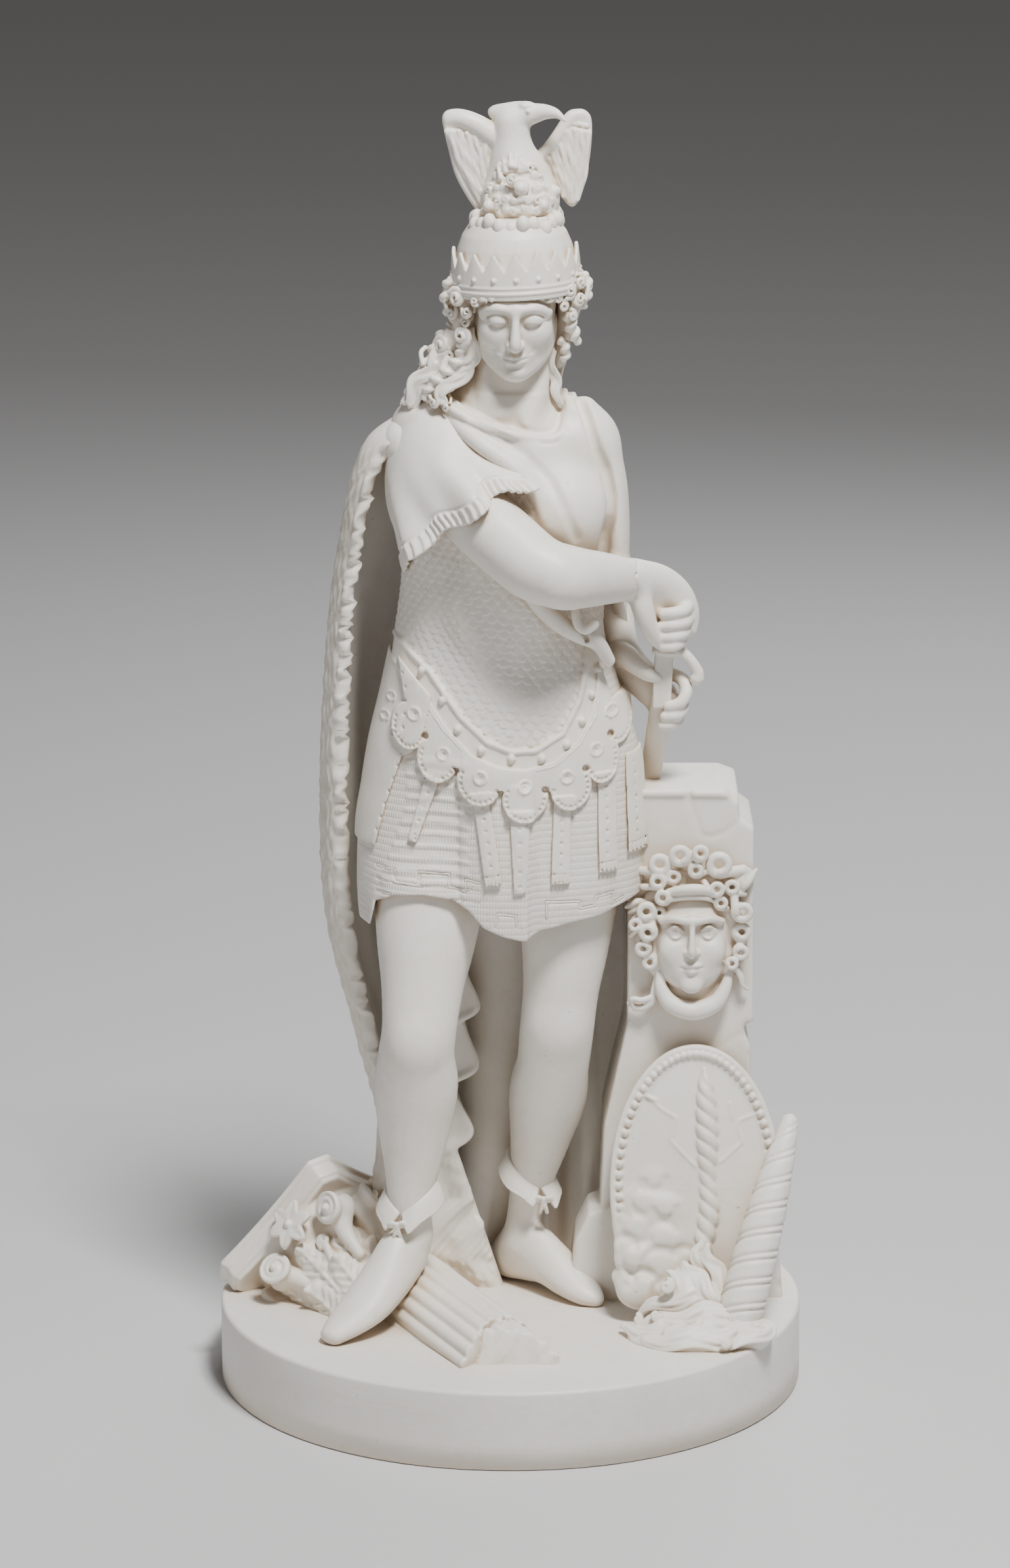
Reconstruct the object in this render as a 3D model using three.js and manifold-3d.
// A parian figurine in one fired piece: a standing warrior in a scale cuirass, short tunic and cloak,
// with an eagle on the crowned helmet. It stands on a round plinth beside a stele with a snake-haired mask,
// an oval shield and a torch, one foot on a fallen column with its capital. Millimetres, +Z up, the front
// towards -Y, +X to the viewer's right. The origin is the middle of the plinth's flat underside.
import * as THREE from "three";
import { mergeVertices } from "three/addons/utils/BufferGeometryUtils.js";
import Module from "manifold-3d";

const wasm = await Module();
wasm.setup();

const PLINTH_RADIUS = 135;
const PLINTH_HEIGHT = 37;
const PLINTH_EDGE = 1.6;
const GROUND = PLINTH_HEIGHT;
const SINK = 4; // how deep a foot or a prop is rooted in the plinth

const SHAFT_RADIUS = 24;
const FLUTES = 18;
const FLUTE_DEPTH = 1.9;
const ABACUS_SIDE = 78;
const ABACUS_THICK = 12;

const HELMET = [2.6, -4, 510]; // the middle of the crown's lower edge
const CROWN_RADIUS = 29.5;
const CROWN_TEETH = 18;
const HEAD = [2, -11, 503];

const SHIELD = { centre: [84, -27, 100], wide: 38, high: 66, thick: 7, lean: -0.2 };
const STELE_FRONT = -8;
const STELE_BACK = 44;
const MASK = [82, STELE_FRONT - 2, 219];
const TORCH_FOOT = [103, -62, 42];
const TORCH_TIP = [129, -22, 131];

const TAU = 2 * Math.PI;
const vec = ([x, y, z]) => new THREE.Vector3(x, y, z);
const mix = (a, b, t) => a + (b - a) * t;

// A closed surface through rings of points, with a fan over each end.
function skin(rings) {
  const sides = rings[0].length;
  const middle = (ring) => ring.reduce((sum, p) => sum.add(p), new THREE.Vector3()).divideScalar(sides);
  const points = [...rings.flat(), middle(rings[0]), middle(rings.at(-1))];
  const first = points.length - 2;
  const last = points.length - 1;
  const at = (i, j) => i * sides + (j % sides);
  const end = rings.length - 1;
  const faces = [];
  for (let i = 0; i < end; i++)
    for (let j = 0; j < sides; j++) {
      faces.push(at(i, j), at(i, j + 1), at(i + 1, j + 1));
      faces.push(at(i, j), at(i + 1, j + 1), at(i + 1, j));
    }
  for (let j = 0; j < sides; j++) {
    faces.push(first, at(0, j + 1), at(0, j));
    faces.push(last, at(end, j), at(end, j + 1));
  }
  const geometry = new THREE.BufferGeometry().setFromPoints(points);
  geometry.setIndex(faces);
  return geometry;
}

// A closed geometry as a solid that faces out, whichever way its faces were wound.
function solid(geometry) {
  const bare = geometry.clone();
  bare.deleteAttribute("normal");
  bare.deleteAttribute("uv");
  const merged = mergeVertices(bare, 1e-3);
  const triVerts = new Uint32Array(merged.index.array);
  const vertProperties = merged.attributes.position.array;
  const made = new wasm.Manifold(new wasm.Mesh({ numProp: 3, vertProperties, triVerts }));
  if (made.volume() > 0) return made;
  triVerts.reverse();
  return new wasm.Manifold(new wasm.Mesh({ numProp: 3, vertProperties, triVerts }));
}

// A smooth curve through stations of numbers: the first three are a place, the rest are sizes.
function through(stations) {
  const part = (k) => stations.map((s) => new THREE.Vector3(s[k] ?? 0, s[k + 1] ?? 0, s[k + 2] ?? 0));
  const place = new THREE.CatmullRomCurve3(part(0), false, "centripetal");
  const size = new THREE.CatmullRomCurve3(part(3), false, "centripetal");
  return { place, size };
}

// Elliptical sections [x, y, z, half width, half depth] along a smooth line. The width runs as near to
// `across` as the line lets it, and `swell` scales a section's radius by its angle and share of the line.
function limb(stations, sides, steps, across = [1, 0, 0], swell = () => 1) {
  const { place, size } = through(stations);
  const rings = [];
  for (let i = 0; i <= steps; i++) {
    const t = i / steps;
    const centre = place.getPoint(t);
    const tangent = place.getTangent(t);
    const side = vec(across).addScaledVector(tangent, -tangent.dot(vec(across))).normalize();
    const up = new THREE.Vector3().crossVectors(tangent, side);
    const half = size.getPoint(t);
    const ring = [];
    for (let j = 0; j < sides; j++) {
      const angle = (TAU * j) / sides;
      const r = swell(angle, t);
      const point = centre.clone().addScaledVector(side, half.x * r * Math.cos(angle));
      ring.push(point.addScaledVector(up, half.y * r * Math.sin(angle)));
    }
    rings.push(ring);
  }
  return solid(skin(rings));
}

// A round rope of stations [x, y, z, radius].
function rope(stations, sides, steps) {
  return limb(stations.map((s) => [s[0], s[1], s[2], s[3], s[3]]), sides, steps, [0.31, 0.9, 0.3]);
}

// An ellipsoid: its middle, its three half sizes and its turn in degrees about X, Y and Z.
function ball(middle, half, turn = [0, 0, 0], across = 8, high = 6) {
  const geometry = new THREE.SphereGeometry(1, across, high);
  geometry.scale(half[0], half[1], half[2]);
  return solid(placed(geometry, middle, turn));
}

function placed(geometry, middle, turn = [0, 0, 0]) {
  const [x, y, z] = turn.map(THREE.MathUtils.degToRad);
  const frame = new THREE.Matrix4().makeRotationFromEuler(new THREE.Euler(x, y, z, "ZYX"));
  return geometry.applyMatrix4(frame.setPosition(vec(middle)));
}

// A profile of [radius, height] points turned about an upright axis, then tilted and set in place.
function lathe(profile, sides, middle, turn) {
  const points = profile.map(([x, y]) => new THREE.Vector2(x, y));
  return solid(placed(new THREE.LatheGeometry(points, sides).rotateX(Math.PI / 2), middle, turn));
}

// A flat outline of [x, z] points, from the plane y = front back to y = back.
function slab(outline, front, back) {
  const shape = new THREE.Shape(outline.map(([x, z]) => new THREE.Vector2(x, z)));
  const geometry = new THREE.ExtrudeGeometry(shape, { depth: back - front, bevelEnabled: false });
  geometry.rotateX(Math.PI / 2);
  return solid(geometry.translate(0, back, 0));
}

// A short drum whose axis points along `normal`, for bosses and scallops that lie on a surface.
function disc(middle, normal, radius, thick, sides) {
  const geometry = new THREE.CylinderGeometry(radius, radius, thick, sides);
  const axis = new THREE.Vector3(0, 1, 0);
  const turn = new THREE.Quaternion().setFromUnitVectors(axis, vec(normal).normalize());
  const frame = new THREE.Matrix4().compose(vec(middle), turn, new THREE.Vector3(1, 1, 1));
  return solid(geometry.applyMatrix4(frame));
}

const join = (solids) => solids.reduce((sum, s) => sum.add(s));

// Plinth

function plinth() {
  const r = PLINTH_RADIUS;
  const h = PLINTH_HEIGHT;
  const e = PLINTH_EDGE;
  const profile = [[0, 0], [r, 0], [r, h - e], [r - e, h], [0, h]];
  return lathe(profile, 40, [0, 0, 0]);
}

// Legs and shoes

const LEFT_LEG = [
  [27, 4, 262, 27, 27], [26, 0, 232, 24, 25], [25, -5, 207, 20, 21], [23, -8, 186, 17.4, 18.5],
  [21, -9, 166, 17, 16.5], [19.5, -5, 150, 16.6, 16.5], [17, 2, 133, 17.4, 18], [14, 7, 112, 14.2, 15.5],
  [10.5, 11, 92, 10.5, 11.5], [7, 13, 74, 8.2, 9.5], [5, 14, 58, 8.5, 11],
];
const RIGHT_LEG = [
  [-34, 2, 262, 28, 27], [-37, -12, 232, 25, 25], [-38.5, -20, 214, 22.5, 23], [-40, -28, 196, 19, 20],
  [-41.5, -36, 177, 17, 17.5], [-43, -36, 163, 17.4, 16.5], [-43, -31, 148, 19, 18],
  [-44, -28, 130, 16.8, 16.5], [-45, -28, 110, 13.2, 13], [-46.5, -29, 92, 9.8, 10.5],
  [-45, -28, 76, 9.4, 11.5],
];
const LEFT_SHOE = [
  [-5, 25, 44, 4, 5], [-1, 21, 47, 8, 10.5], [8, 11, 54, 9, 15], [18, 2, 51, 9.6, 11.5],
  [27, -7, 46, 10.2, 8.5], [35, -15, 42, 8.6, 5.8], [40, -20, 40, 4, 3.2],
];
const RIGHT_SHOE = [
  [-32, -16, 65, 4, 5], [-36, -21, 67, 8.6, 10.5], [-45, -31, 69, 10.6, 14], [-55, -42, 60, 12, 12],
  [-65, -54, 51, 12.4, 9], [-74, -63, 45, 10.4, 6.4], [-81, -70.5, 41, 5, 4],
];

// A turned-down boot cuff: an open cone round the ankle, tilted.
function cuff(middle, turn, radius) {
  const r = radius;
  return lathe([[r - 4, 8], [r - 0.5, 8], [r + 4.2, -7], [r - 4, -5], [r - 4, 8]], 7, middle, turn);
}

function legs() {
  return join([
    limb(LEFT_LEG, 8, 7),
    limb(RIGHT_LEG, 8, 7),
    limb(LEFT_SHOE, 6, 4, [0.7, 0.7, 0]),
    limb(RIGHT_SHOE, 6, 4, [0.76, -0.65, 0]),
    cuff([9, 11.5, 84], [-6, 10, 0], 10.6),
    cuff([-46, -29, 94], [4, -8, 0], 12),
  ]);
}

// Body: one loft from the tunic's hem up to the neck. Angle 0 is the viewer's right and 270 the front.

const BODY = [
  [-4, 1, 219, 65, 41], [-4, 1, 240, 66, 41], [-3.5, 2, 268, 65, 40], [-3, 3, 300, 61, 38.5],
  [-4, 4, 326, 54, 35], [-5, 4, 352, 47.5, 31], [-3.5, 4, 378, 45.5, 30.5], [-2, 4, 405, 46, 32.5],
  [-2, 4, 430, 45, 30], [-2, 3, 446, 38, 24], [-1.5, 2, 455, 24, 18], [-1, 1, 462, 16, 15],
];
const PLEATS = 6;

// The tunic hangs over two thighs with a deep valley between them, and ripples towards the hem.
function tunicFolds(angle, t) {
  const low = Math.max(0, 1 - 2.9 * t);
  const front = Math.max(0, -Math.sin(angle));
  const valley = Math.exp(-(((Math.cos(angle) - 0.13) / 0.12) ** 2)) * front;
  return 1 - 0.17 * low * valley + 0.02 * low * Math.cos(PLEATS * angle);
}

// Where the body's surface lies in front of the point (x, z), and its outward direction.
function onFront(x, z, proud = 0) {
  const i = Math.max(0, Math.min(BODY.length - 2, BODY.findIndex((s) => s[2] > z) - 1));
  const t = (z - BODY[i][2]) / (BODY[i + 1][2] - BODY[i][2]);
  const [cx, cy, , w, d] = BODY[i].map((v, k) => mix(v, BODY[i + 1][k], t));
  const c = THREE.MathUtils.clamp((x - cx) / w, -0.985, 0.985);
  const s = Math.sqrt(1 - c * c);
  const normal = vec([c / w, -s / d, 0]).normalize();
  return { point: vec([x, cy - d * s, z]).addScaledVector(normal, proud), normal };
}

const BELT_LINE = [
  [-50, 354], [-39, 336], [-25, 317], [-10, 304], [4, 301], [20, 305], [32, 318], [39, 338],
  [42, 350],
];
const SCALLOPS = [[-46, 300], [-32.5, 295], [-13.5, 288], [6, 284], [26.5, 287], [43, 297]];
const SCALLOP_RADIUS = 10.2;
const LAPPETS = [
  { top: [-50, 300], foot: [-62, 258], half: 6.5 },
  { top: [-35.6, 291], foot: [-44.6, 263.6], half: 3.3 },
  { top: [-13.6, 286], foot: [-7.7, 245.8], half: 4 },
  { top: [4.2, 278], foot: [4.2, 242], half: 3.6 },
  { top: [23.3, 283], foot: [22.5, 244.8], half: 4.3 },
  { top: [43.3, 292], foot: [44.3, 248.3], half: 4.4 },
  { top: [56, 300], foot: [58.2, 255], half: 4.6 },
];

// A studded belt laid low round the front, along [x, z] points.
function belt() {
  const places = BELT_LINE.map(([x, z]) => [...onFront(x, z, 0.2).point, 3.6, 2.6]);
  return limb(places, 4, 8, [0, 0, 1]);
}

function scallop([x, z]) {
  const { point, normal } = onFront(x, z, -1);
  return disc(point, normal.toArray(), SCALLOP_RADIUS, 6, 6);
}

// A hanging strap that stands further off the tunic towards its foot.
function lappet({ top, foot, half }) {
  const rings = [0, 1].map((t) => {
    const { point, normal } = onFront(mix(top[0], foot[0], t), mix(top[1], foot[1], t));
    const along = new THREE.Vector3(-normal.y, normal.x, 0).multiplyScalar(half * mix(0.85, 1.1, t));
    const corner = (s, h) => point.clone().addScaledVector(along, s).addScaledVector(normal, h);
    const lift = mix(0.8, 2.2, t);
    return [corner(-1, -4), corner(1, -4), corner(1, lift), corner(-1, lift)];
  });
  return solid(skin(rings));
}

function body() {
  return join([
    limb(BODY, 22, 8, [1, 0, 0], tunicFolds),
    ball([19, -17, 413], [17, 13, 16], [0, 0, 12], 8, 5),
    belt(),
    ...SCALLOPS.map(scallop),
    ...LAPPETS.map(lappet),
  ]);
}

// Cloak: a sheet that wraps the back, from the left front edge round to the viewer's right.
// Each row is [z, left x, right x, middle y, depth, left angle, right angle] of its elliptical section.
const CLOAK = [
  [462, -22, 22, 5, 13, 220, -40],
  [450, -54, 38, 5, 21, 218, -55],
  [432, -70, 46, 8, 29, 207, -52],
  [388, -79.5, 52, 15, 36, 203, -36],
  [345, -85, 54, 19, 38, 204, 0],
  [280, -88.5, 58, 21, 39, 205, 8],
  [215, -86.5, 60, 24, 37, 204, 8],
  [155, -73, 60, 27, 34, 199, 8],
  [98, -60, 60, 27, 35, 196, 8],
  [GROUND - SINK, -67, 60, 27, 38, 196, 8],
];
const CLOAK_THICK = 6.5;
const CLOAK_FOLDS = 3;
const CLOAK_COLUMNS = 13;

function cloakRow([z, left, right, y, depth, from, to]) {
  const low = THREE.MathUtils.clamp((450 - z) / 300, 0, 1);
  const place = (share, inset) => {
    const angle = THREE.MathUtils.degToRad(mix(from, to, share));
    const fold = 4 * low * Math.sin(Math.PI * share) * Math.cos(CLOAK_FOLDS * TAU * share);
    const x = (left + right) / 2 + ((right - left) / 2 + fold - inset) * Math.cos(angle);
    return new THREE.Vector3(x, y + (depth + fold - inset) * Math.sin(angle), z);
  };
  const shares = Array.from({ length: CLOAK_COLUMNS + 1 }, (_, j) => j / CLOAK_COLUMNS);
  return [...shares.map((s) => place(s, 0)), ...shares.reverse().map((s) => place(s, CLOAK_THICK))];
}

// The cloak's front corner behind the raised leg, and the zigzag of its falling edge above it.
const CORNER = [[-64, GROUND - SINK], [0, GROUND - SINK], [-29, 118], [-62, 120]];
const CASCADE = [
  [-40, 100], [-27, 104], [-19, 116], [-25, 120], [-17, 137], [-25, 142], [-15, 162], [-28, 172],
  [-50, 180],
];

function cloak() {
  return join([
    solid(skin(CLOAK.map(cloakRow))),
    slab(CORNER, 6, 14),
    slab(CASCADE, 6, 22),
    ball([-4, 40, 120], [24, 16, 92], [0, 0, 0], 7, 6),
  ]);
}

// Arms, hands and sword

const RIGHT_ARM = [
  [-46, 0, 440, 15, 15], [-32, -14, 426, 16, 16], [-12, -30, 410, 16.5, 17], [6, -44, 396, 15.6, 16.6],
  [17, -51, 388, 14.2, 15.6], [27, -44, 385, 13, 14], [42, -27, 382, 10.5, 11.4], [56, -11, 379, 8, 9],
];
const RIGHT_SLEEVE = [
  [-34, 6, 453, 6, 6], [-43, 1, 444, 19, 17], [-43, -7, 427, 26, 22], [-37, -15, 414, 30, 22],
  [-29, -23, 401, 32, 20],
];
const SLEEVE_RUFFLES = 3;
const LEFT_ARM = [
  [34, 6, 440, 11, 13], [39, 12, 422, 12, 13], [42, 24, 396, 11, 12], [45, 30, 372, 11, 12],
  [52, 24, 352, 10, 11], [60, 13, 335, 8, 9],
];

function arms() {
  const ruffle = (angle, t) => 1 + 0.1 * t ** 4 * Math.cos(SLEEVE_RUFFLES * angle);
  return join([
    limb(RIGHT_ARM, 8, 7),
    limb(RIGHT_SLEEVE, 9, 3, [0.68, -0.34, 0.64], ruffle),
    limb(LEFT_ARM, 6, 4),
    ball([34, 4, 436], [14, 16, 16]),
  ]);
}

const FINGERS = 4;
const RIGHT_PALM = [
  [53, -12, 380, 8, 8.6], [62, -8, 380, 7, 10], [71, -4, 374, 6.4, 11], [77, -2, 364, 6, 11],
];
const LEFT_PALM = [[60, 15, 338, 8, 8], [64, 9, 330, 8, 10], [70, 6, 324, 7, 10]];
const RIGHT_THUMB = [[60, -10, 374, 4.4], [64, -13, 361, 4], [70, -11, 351, 3]];
const LEFT_THUMB = [[58, 10, 338, 4.4], [63, 3, 343, 4], [68, -1, 336, 3]];

function hands() {
  const made = [limb(RIGHT_PALM, 6, 3, [0, 1, 0.2]), limb(LEFT_PALM, 6, 2, [0, 1, 0.2])];
  made.push(rope(RIGHT_THUMB, 4, 2), rope(LEFT_THUMB, 4, 2));
  for (let i = 0; i < FINGERS; i++) {
    const y = -10 + 5.2 * i;
    const z = 329 - 5 * i;
    made.push(rope([[76, y, 364, 2.7], [81, y, 355, 2.8], [75, y, 347, 2.4]], 4, 2));
    made.push(rope([[68, 12, z, 2.6], [79, 5, z - 1, 2.7], [72, -3, z - 2, 2.4]], 4, 2));
  }
  return join(made);
}

// The hilt with its hooked guard, and the scabbard that hangs behind the hip.
const SCABBARD = [
  [75, 1, 366, 3, 3.4], [72, 2, 347, 3, 4], [70, 4, 330, 2.8, 5.4], [64, 16, 282, 2.4, 5],
  [61, 22, 262, 2, 4.6],
];
const GUARD = [
  [66, 2, 346, 2.6], [74, 1, 346, 3.4], [82, 0, 341, 3.2], [87, -1, 333, 3.2], [84, -1, 328, 3.6],
];

function sword() {
  return join([limb(SCABBARD, 4, 3, [0, 1, 0]), rope(GUARD, 4, 4)]);
}

// Sash folds across the chest and round the hip, as ropes half sunk in the cuirass.
const SASH = [
  [[-28, -22, 450, 5], [-12, -29, 437, 4.8], [4, -31, 424, 4.6], [20, -31, 410, 4.2], [33, -25, 398, 3]],
  [[-26, -17, 457, 4.6], [-4, -21, 445, 4.4], [16, -21, 443, 4], [27, -12, 452, 3.6]],
  [[-16, -31, 428, 4], [0, -33, 412, 4], [14, -33, 398, 3.4]],
  [[22, -29, 366, 5], [34, -24, 350, 6], [46, -15, 332, 5.4], [54, -9, 316, 4]],
  [[27, -30, 366, 3], [33, -29, 356, 3.8], [41, -26, 356, 3.2]],
];

// Head, hair, helmet and eagle

const NECK = [[-1, 0, 450, 21, 17], [0, -2, 466, 18, 16], [2, -5, 490, 16, 16]];
const NOSE = [[2, -32, 504, 2.4, 3], [2, -36.5, 492, 3.4, 4.2], [2, -32, 487, 3.6, 3]];

function head() {
  return join([
    limb(NECK, 9, 2),
    ball(HEAD, [20, 22, 27], [14, 0, 0], 9, 7),
    ball([2, -21, 485], [14.5, 13, 13], [10, 0, 0], 8, 6),
    limb(NOSE, 4, 2),
    ball([2, -33, 482.5], [5.6, 2.6, 2.2], [0, 0, 0], 5, 3),
  ]);
}

// Locks of hair: each is a curl of stations [x, y, z, radius].
const LOCKS = [
  [[-22, -12, 508, 5], [-27, -12, 500, 6], [-25, -10, 491, 5.6], [-19, -8, 482, 4]],
  [[-19, -6, 496, 6], [-24, -2, 485, 6.4], [-27, -4, 474, 6], [-33, 0, 463, 6]],
  [[-22, 2, 484, 7], [-33, 2, 476, 7], [-36, -1, 464, 6.4], [-42, 0, 453, 5]],
  [[-20, -6, 474, 5], [-29, -9, 465, 5], [-33, -11, 456, 5], [-24, -12, 452, 4]],
  [[24, -12, 512, 5], [28.5, -12, 504, 6], [26, -9, 493, 5.4], [20, -9, 483, 4]],
  [[20, -6, 494, 6], [23.5, -4, 483, 5.6], [20, -6, 472, 5], [20, -3, 458, 4.4]],
  [[0, 10, 500, 18], [-2, 14, 482, 18], [-4, 12, 464, 16], [-6, 8, 452, 12]],
];

function hair() {
  return join(LOCKS.map((lock) => rope(lock, 4, 3)));
}

const HELMET_PROFILE = [
  [0, -6], [25, -6], [27, 0], [26.5, 12], [25, 20], [20.7, 29], [16.5, 34], [0, 38],
];
const CROWN_LOW = -1;
const CROWN_INSIDE = 20; // hidden in the dome
const CROWN_LEAN = 1.5; // how much the tips stand inside the rim
const TOOTH_TIP = 20;
const TOOTH_FOOT = 13;

// A band of teeth round the dome: one column of points a tip, the next a valley.
function crown() {
  const columns = 2 * CROWN_TEETH;
  const edge = (radius, height) => Array.from({ length: columns }, (_, j) => {
    const angle = (TAU * j) / columns;
    const [x, y] = [radius * Math.cos(angle), radius * Math.sin(angle)];
    return vec(HELMET).add(vec([x, y, height(j)]));
  });
  const low = () => CROWN_LOW;
  const tooth = (j) => (j % 2 ? TOOTH_FOOT : TOOTH_TIP);
  const rim = [edge(CROWN_INSIDE, low), edge(CROWN_RADIUS, low), edge(CROWN_RADIUS - CROWN_LEAN, tooth)];
  return solid(skin(rim));
}

function helmet() {
  return join([lathe(HELMET_PROFILE, 16, HELMET), crown()]);
}

const EAGLE_NECK = [
  [4, 0, 556, 15, 14], [2, 0, 565, 11.5, 11], [0.6, 0, 575, 8.2, 8.2], [0.4, -1, 588, 7.6, 6],
];
const EAGLE_HEAD = [
  [-8.6, 4, 587.5, 2, 2], [-1, 1, 588, 7, 6], [7, -2, 590.5, 5.4, 5], [16, -5, 590.4, 2.6, 2.6],
  [24.4, -8, 585.5, 1, 1],
];
const LEFT_WING = [
  [-5, 581], [-13, 586.5], [-21, 590], [-28, 590], [-31, 586], [-30, 572], [-27, 560], [-23, 552],
  [-16, 544], [-6, 549],
];
const RIGHT_WING = [
  [9, 566], [25.6, 586], [29.6, 589.5], [35.3, 588], [37, 581], [36.6, 566.7], [34.6, 555], [31.4, 546],
  [27, 544], [14, 553],
];

function eagle() {
  return join([
    ball([3.8, -2, 554], [16, 15, 17], [0, 0, 0], 8, 6),
    limb(EAGLE_NECK, 6, 3),
    limb(EAGLE_HEAD, 6, 5, [0, 1, 0]),
    ball([4, -13, 558], [8, 5, 8], [0, 0, 0], 7, 4),
    slab(LEFT_WING, 0, 8),
    slab(RIGHT_WING, 2, 14),
  ]);
}

// Stele with its mask, shield and torch

const STELE = [
  [40, GROUND - SINK], [43, 120], [53.5, 170], [53.5, 281], [96, 281], [104, 278], [104, 268], [111, 263],
  [111.5, 170], [107, 168], [110.5, 158], [111, 118], [123, 82], [127, GROUND - SINK],
];
const ROCK = [[26, GROUND - SINK], [30, 66], [36, 79], [48, 84], [60, 60], [60, GROUND - SINK]];
const MOULDING = [[55, 277], [72, 277], [72, 273], [55, 273]];
const SNAKES = 9;

// Snake curls in a ring round the face, and the thick roll of a collar under its chin.
function mask() {
  const [x, y, z] = MASK;
  const snakes = Array.from({ length: SNAKES }, (_, i) => {
    const angle = mix(-2.1, 2.1, i / (SNAKES - 1));
    const reach = 1 + 0.12 * (i % 2);
    const place = [x + 24.5 * reach * Math.sin(angle), y - 1, z + 25.5 * reach * Math.cos(angle)];
    return ball(place, [6.1, 5.5, 6.1], [0, 0, 0], 5, 4);
  });
  const collar = [-1.15, -0.6, 0, 0.6, 1.15].map((angle) => (
    [x + 24 * Math.sin(angle), y - 2, z - 8 - 25 * Math.cos(angle), 4.4 * Math.cos(angle / 1.6)]
  ));
  return join([
    ball([x, y - 1, z - 8], [18, 11, 24], [0, 0, 0], 9, 6),
    limb([[x, y - 9, z + 3, 2.4, 3], [x, y - 13, z - 8, 3.6, 4], [x, y - 9, z - 12, 3, 3]], 5, 2),
    rope([[x - 8, y - 9, z + 4, 2], [x, y - 10, z + 5, 2], [x + 8, y - 9, z + 4, 2]], 4, 2),
    rope(collar, 5, 5),
    ...snakes,
  ]);
}

function stele() {
  return join([
    slab(STELE, STELE_FRONT, STELE_BACK),
    slab(ROCK, -12, 20),
    slab(MOULDING, STELE_FRONT - 1.6, STELE_FRONT + 4),
    mask(),
  ]);
}

// A point of the leaning shield's own frame, in shares of its half sizes and millimetres proud of its face.
function onShield(x, z, proud) {
  const { centre, wide, high, thick, lean } = SHIELD;
  const face = vec([x * wide, -thick / 2 - proud, z * high]).applyAxisAngle(vec([1, 0, 0]), -lean);
  return face.add(vec(centre)).toArray();
}

const SPINDLE = [
  [0.06, 0.74, 1.5], [0.08, 0.5, 6], [0.06, 0.2, 6.4], [0.06, 0, 4.6], [0.06, -0.3, 6], [0.04, -0.6, 5],
];
const CLOUDS = [[-0.5, -0.3, 9], [-0.7, -0.55, 9], [-0.25, -0.55, 9], [-0.5, -0.82, 10]];
const BOLTS = [[[-0.72, 0.34], [-0.4, 0.1], [-0.1, 0.04]], [[0.78, 0.2], [0.4, 0.06], [0.16, 0.02]]];

function shield() {
  const { centre, wide, high, thick, lean } = SHIELD;
  const turn = [-THREE.MathUtils.radToDeg(lean), 0, 0];
  const face = -thick / 2;
  const back = thick / 2;
  const bead = face - 2.5;
  const profile = [[0, back], [1, back], [1, bead], [0.9, bead], [0.86, face], [0, face]];
  const points = profile.map(([x, y]) => new THREE.Vector2(x, y));
  return join([
    solid(placed(new THREE.LatheGeometry(points, 22).scale(wide, 1, high), centre, turn)),
    rope(SPINDLE.map(([x, z, r]) => [...onShield(x, z, 0), r]), 5, 5),
    ...BOLTS.map((line) => rope(line.map(([x, z]) => [...onShield(x, z, 0), 2.6]), 4, 2)),
    ...CLOUDS.map(([x, z, r]) => ball(onShield(x, z, -2.5), [r, 6, r], [0, 0, 0], 6, 3)),
  ]);
}

// The torch leans on the shield's edge, mouth down, and its flame licks along the ground.
const TORCH_SIZES = [[0, 10.5], [0.35, 11], [0.75, 9], [0.93, 5.6], [1, 2.4]];
const FLAMES = [
  [[104, -62, 44, 9], [94, -70, 42, 9.5], [80, -69, 41, 8], [66, -60, 41, 7], [57, -50, 40, 4]],
  [[100, -60, 50, 8], [88, -54, 54, 8], [78, -48, 52, 7], [70, -46, 58, 3]],
];

function torch() {
  const place = (t) => TORCH_FOOT.map((v, k) => mix(v, TORCH_TIP[k], t));
  return join([
    rope(TORCH_SIZES.map(([t, r]) => [...place(t), r]), 8, 5),
    ...FLAMES.map((line) => rope(line, 5, 4)),
  ]);
}

// Fallen column: the fluted shaft with its broken end, and the capital lying on a corner of its abacus.

const SHAFT_BACK = [-62, 20, 36];
const SHAFT_END = [-7, -84, 30];
const STUB = [[-12, -78, 32, 20, 19], [0, -92, 29, 22, 15], [13, -98, 27, 15, 12]];

function shaft() {
  const r = SHAFT_RADIUS;
  const flute = (angle) => 1 - (FLUTE_DEPTH / r) * (1 - Math.cos(FLUTES * angle));
  return join([
    limb([[...SHAFT_BACK, r, r], [...SHAFT_END, r, r]], 2 * FLUTES, 1, [1, 0, 0], flute),
    limb(STUB, 9, 2),
  ]);
}

// The capital's frame: along the abacus, out of the side that shows, and down the bell.
const CAPITAL = new THREE.Matrix4();
CAPITAL.makeBasis(vec([0.7, 0.08, 0.71]), vec([-0.5, -0.66, 0.56]), vec([0.51, -0.75, -0.42]));
CAPITAL.setPosition(-87, 22, 46);

const inCapital = (p) => vec(p).applyMatrix4(CAPITAL).toArray();

// A scroll under one corner of the abacus, with its eye, turned in to face along the diagonal.
function volute(along, out) {
  const turn = new THREE.Matrix4().copy(CAPITAL).setPosition(...inCapital([along, out, 9]));
  const scroll = new THREE.CylinderGeometry(8.5, 8.5, 11, 8).rotateZ(Math.sign(along) * -0.6);
  return solid(scroll.applyMatrix4(turn));
}

const LEAVES = [[-16, 24, 9], [0, 22, 9], [16, 22, 9], [-8, 38, 9], [10, 38, 10]];
const PETALS = 6;
const FLOWER_RADIUS = 11;

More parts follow.
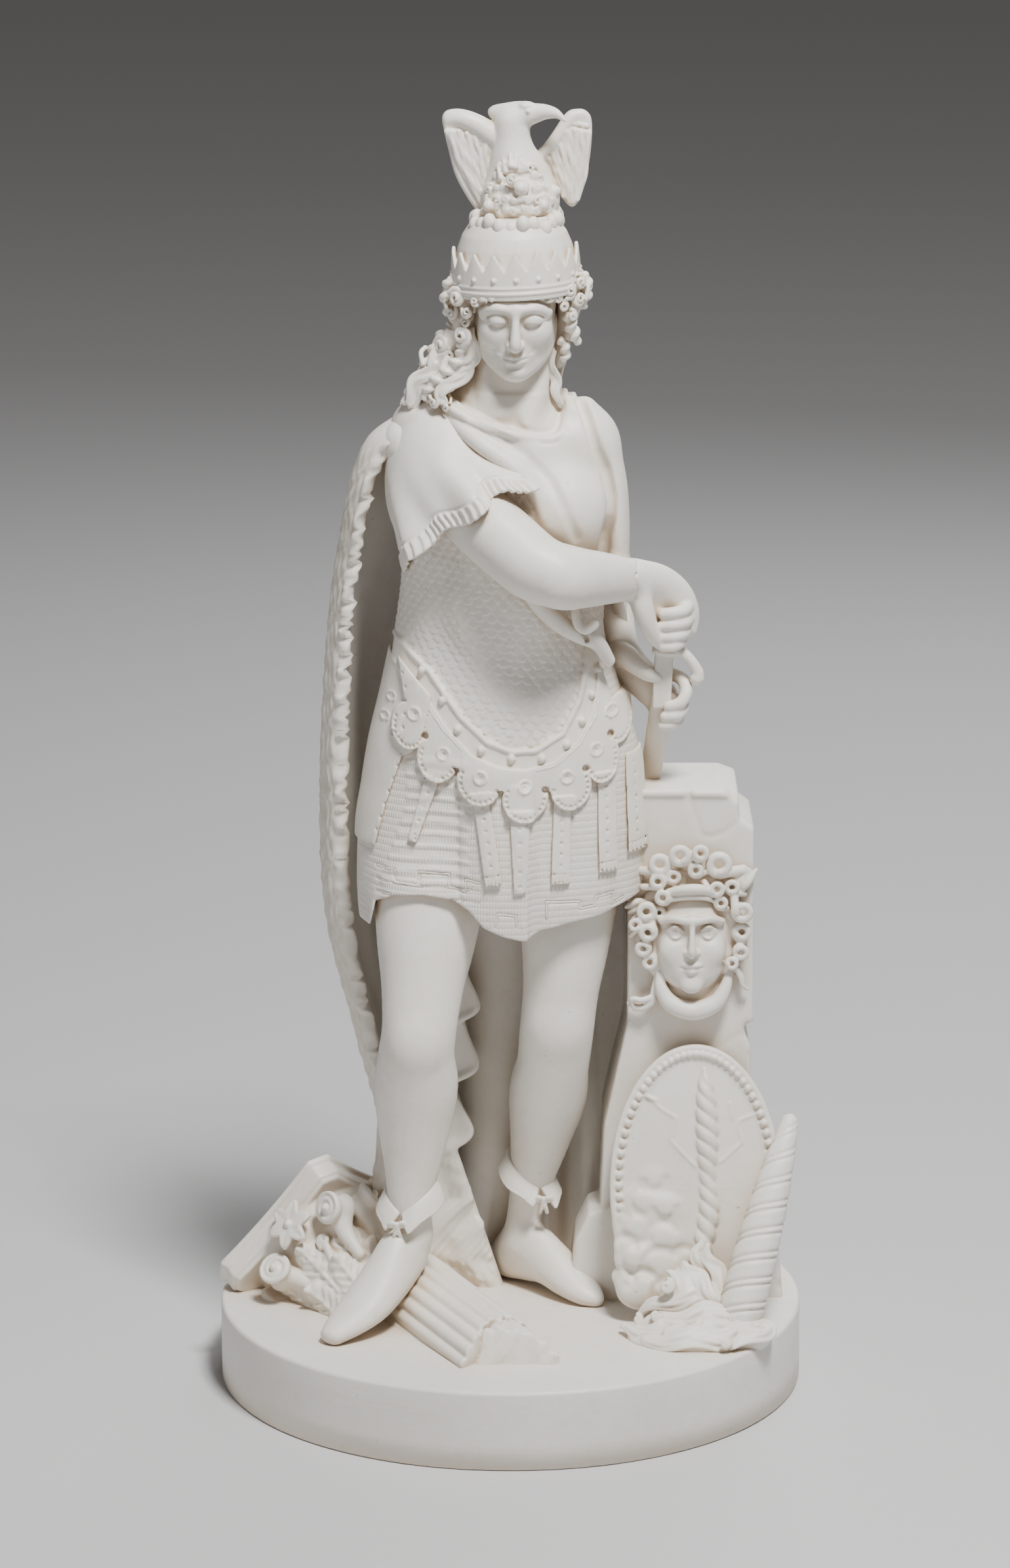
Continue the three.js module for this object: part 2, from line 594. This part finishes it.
// The flower in the middle of the abacus's side: a boss whose rim swells into petals.
function flower(along, out, down) {
  const spread = (angle) => 1 + 0.16 * Math.cos(PETALS * angle);
  const r = FLOWER_RADIUS;
  const stations = [out - 6, out + 3].map((depth) => [...inCapital([along, depth, down]), r, r]);
  return limb(stations, 12, 1, [0, 0, 1], spread);
}

function capital() {
  const half = ABACUS_SIDE / 2;
  const abacus = new THREE.BoxGeometry(ABACUS_SIDE, ABACUS_SIDE, ABACUS_THICK).translate(2, 0, -3);
  const bell = [[0, 36], [28, 30], [56, 25]].map(([down, r]) => [...inCapital([0, 0, down]), r, r]);
  const leaves = LEAVES.map(([along, down, r]) => (
    ball(inCapital([along, Math.sqrt(30 ** 2 - along ** 2) - 1, down]), [r, r, r], [0, 0, 0], 6, 3)
  ));
  return join([
    solid(abacus.applyMatrix4(CAPITAL)), limb(bell, 10, 2), volute(-16, half - 9), volute(30, half - 10),
    flower(3, half - 2, 8), ...leaves,
  ]);
}

// The whole figurine

const ROOM = 700; // a block as high and wide as this holds everything above the plinth's underside

function figurine() {
  const sash = SASH.map((line) => rope(line, 4, 3));
  const above = join([
    legs(), body(), cloak(), arms(), hands(), sword(), ...sash, head(), hair(), helmet(), eagle(),
    stele(), shield(), torch(), shaft(), capital(),
  ]);
  const sky = solid(new THREE.BoxGeometry(ROOM, ROOM, ROOM).translate(0, 0, ROOM / 2 + 1));
  const whole = plinth().add(above.intersect(sky));
  return join(whole.decompose().filter((piece) => piece.volume() > 0));
}

function meshOf(made, name, material) {
  const { numProp, vertProperties, triVerts } = made.getMesh();
  const geometry = new THREE.BufferGeometry();
  geometry.setAttribute("position", new THREE.BufferAttribute(vertProperties, numProp));
  geometry.setIndex(new THREE.BufferAttribute(triVerts, 1));
  geometry.computeVertexNormals();
  const mesh = new THREE.Mesh(geometry, material);
  mesh.name = name;
  return mesh;
}

const parian = new THREE.MeshStandardMaterial({ color: 0xe9e4dc, roughness: 0.5, metalness: 0 });
const group = new THREE.Group();
group.add(meshOf(figurine(), "figurine", parian));

export default group;
